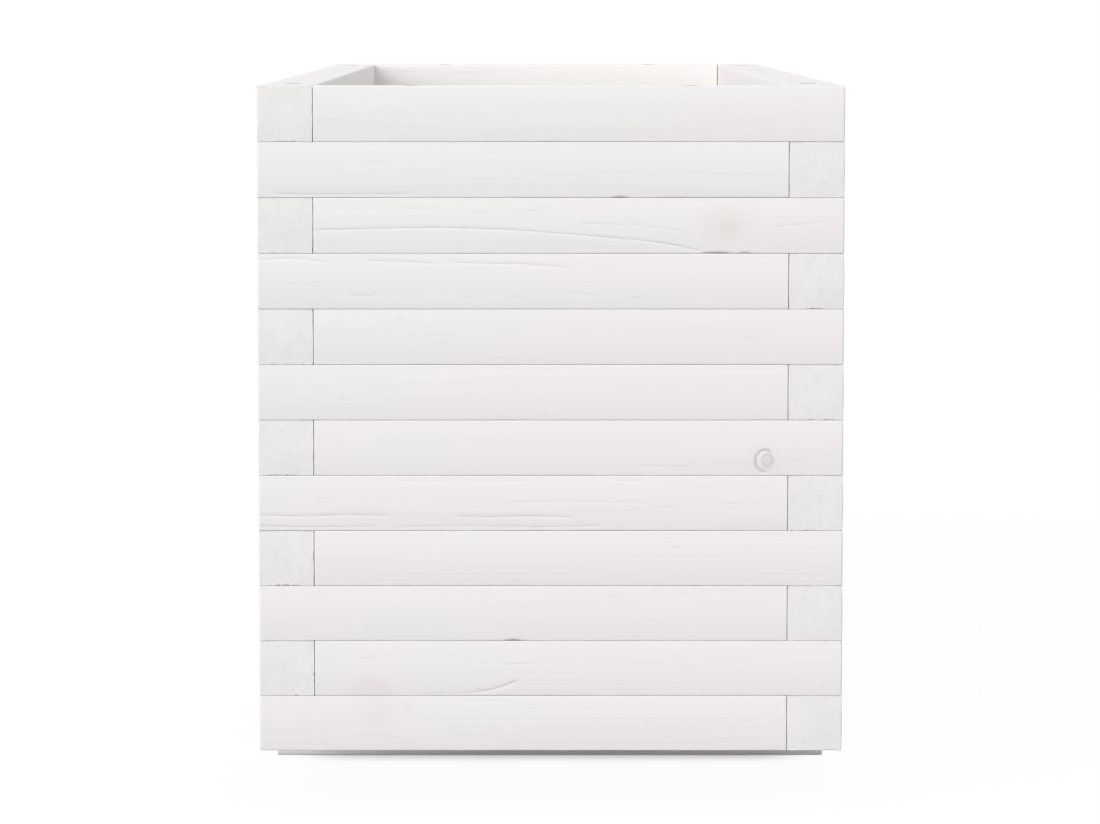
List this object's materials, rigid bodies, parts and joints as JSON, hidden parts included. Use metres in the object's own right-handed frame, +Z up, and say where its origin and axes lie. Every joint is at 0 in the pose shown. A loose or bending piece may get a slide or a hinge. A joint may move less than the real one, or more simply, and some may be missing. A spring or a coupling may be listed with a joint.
{
  "type": "raised garden bed",
  "caption": "Long raised garden bed of white square pine battens, laid in courses crossed at the corners, on foot runners with a slatted drained floor.",
  "frame": {"origin": "on the ground, under the middle of the bed", "axes": "+Z up, +Y along the bed's length away from the front end wall, +X to the right as seen from the front"},
  "size_m": [0.4, 1.1, 0.494],
  "materials": {
    "white_timber": "matt white opaque stain over planed softwood, grain and knots faintly showing",
    "runner_timber": "matt white opaque stain over sawn softwood",
    "floor_timber": "matt white opaque stain over planed softwood boards",
    "screw_steel": "dull zinc plate"
  },
  "bodies": {
    "root": {"course_01_front_batten": "white_timber", "course_01_back_batten": "white_timber", "course_01_left_batten": "white_timber", "course_01_right_batten": "white_timber", "course_02_front_batten": "white_timber", "course_02_back_batten": "white_timber", "course_02_left_batten": "white_timber", "course_02_right_batten": "white_timber", "course_03_front_batten": "white_timber", "course_03_back_batten": "white_timber", "course_03_left_batten": "white_timber", "course_03_right_batten": "white_timber", "course_04_front_batten": "white_timber", "course_04_back_batten": "white_timber", "course_04_left_batten": "white_timber", "course_04_right_batten": "white_timber", "course_05_front_batten": "white_timber", "course_05_back_batten": "white_timber", "course_05_left_batten": "white_timber", "course_05_right_batten": "white_timber", "course_06_front_batten": "white_timber", "course_06_back_batten": "white_timber", "course_06_left_batten": "white_timber", "course_06_right_batten": "white_timber", "course_07_front_batten": "white_timber", "course_07_back_batten": "white_timber", "course_07_left_batten": "white_timber", "course_07_right_batten": "white_timber", "course_08_front_batten": "white_timber", "course_08_back_batten": "white_timber", "course_08_left_batten": "white_timber", "course_08_right_batten": "white_timber", "course_09_front_batten": "white_timber", "course_09_back_batten": "white_timber", "course_09_left_batten": "white_timber", "course_09_right_batten": "white_timber", "course_10_front_batten": "white_timber", "course_10_back_batten": "white_timber", "course_10_left_batten": "white_timber", "course_10_right_batten": "white_timber", "course_11_front_batten": "white_timber", "course_11_back_batten": "white_timber", "course_11_left_batten": "white_timber", "course_11_right_batten": "white_timber", "course_12_front_batten": "white_timber", "course_12_back_batten": "white_timber", "course_12_left_batten": "white_timber", "course_12_right_batten": "white_timber", "foot_runner_1": "runner_timber", "foot_runner_2": "runner_timber", "foot_runner_3": "runner_timber", "floor_slat_1": "floor_timber", "floor_slat_2": "floor_timber", "floor_slat_3": "floor_timber", "floor_slat_4": "floor_timber", "end_wall_screws": "screw_steel", "side_wall_screws": "screw_steel", "runner_screws": "screw_steel", "floor_screws": "screw_steel"}
  },
  "joints": []
}
